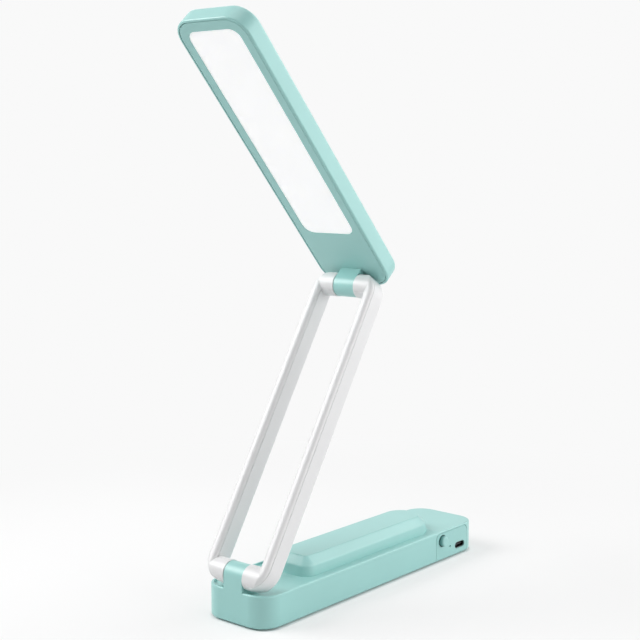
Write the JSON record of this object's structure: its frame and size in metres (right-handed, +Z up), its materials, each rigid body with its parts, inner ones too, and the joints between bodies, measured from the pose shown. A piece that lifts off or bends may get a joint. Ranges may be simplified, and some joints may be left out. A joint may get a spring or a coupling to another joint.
{
  "type": "folding desk lamp",
  "caption": "Folding rechargeable desk lamp in mint and white: flat base with a battery hump, loop arm and lit panel head on two knuckle hinges.",
  "frame": {"origin": "centre of the underside of the anti-slip pad, on the table", "axes": "+X towards the side with the socket panel, +Y along the base from the hinge end to the socket end, +Z up"},
  "size_m": [0.0454, 0.1951, 0.2898],
  "materials": {
    "mint_shell": "satin, fine grain",
    "mint_panel": "satin, fine grain",
    "mint_button": "satin",
    "mint_bezel": "satin, fine grain",
    "white_arm": "satin",
    "diffuser_white": "opal, frosted",
    "tray_white": "bright white",
    "led_board_white": "white solder mask",
    "led_phosphor": "yellow phosphor",
    "liner_ivory": "self-lubricating plastic",
    "sleeve_steel": "drawn",
    "steel_screw": "zinc plated",
    "socket_steel": "bright drawn",
    "socket_tongue": "moulded",
    "light_pipe": "clear",
    "circuit_board": "solder mask",
    "chip_black": "moulded",
    "cell_wrap": "shrink wrap",
    "foam_grey": "foam",
    "wire_red": "insulation",
    "wire_black": "insulation",
    "pad_rubber": "matt silicone"
  },
  "bodies": {
    "base": {"base_top_housing": "mint_shell", "base_bottom_cover": "mint_shell", "base_screws": "steel_screw", "antislip_pad": "pad_rubber", "port_panel": "mint_panel", "usb_c_shell": "socket_steel", "usb_c_tongue": "socket_tongue", "charge_light_pipe": "light_pipe", "main_board": "circuit_board", "board_chips": "chip_black", "board_screws": "steel_screw", "switch_board": "circuit_board", "tact_switch": "chip_black", "battery_cell": "cell_wrap", "battery_tabs": "steel_screw", "battery_foam": "foam_grey", "battery_leads": "wire_red", "lamp_lead": "wire_black", "lower_hinge_liner": "liner_ivory"},
    "button": {"power_button": "mint_button", "switch_plunger": "liner_ivory"},
    "arm": {"arm_rear_frame": "white_arm", "arm_front_cover": "white_arm", "lower_hinge_sleeve": "sleeve_steel", "upper_hinge_sleeve": "sleeve_steel", "arm_lead": "wire_black"},
    "head": {"head_rear_shell": "mint_shell", "head_bezel": "mint_bezel", "head_knuckle": "mint_shell", "upper_hinge_liner": "liner_ivory", "knuckle_screws": "steel_screw", "light_diffuser": "diffuser_white", "reflector_tray": "tray_white", "led_board": "led_board_white", "led_chips": "led_phosphor", "tray_screws": "steel_screw", "head_lead": "wire_black"}
  },
  "joints": [
    {"name": "arm_fold", "type": "hinge", "parent": "base", "child": "arm", "pos_m": [0, -0.0841, 0.0234], "axis": [1, 0, 0], "range_deg": [-56.1, 31.9]},
    {"name": "head_tilt", "type": "hinge", "parent": "arm", "child": "head", "pos_m": [0, -0.00082, 0.1572], "axis": [1, 0, 0], "range_deg": [-5.7, 106.3]},
    {"name": "button_press", "type": "slide", "parent": "base", "child": "button", "axis": [-1, 0, 0], "range_m": [0, 0.0006], "stiffness_N_per_m": 2000, "springref_m": -0.0003}
  ]
}
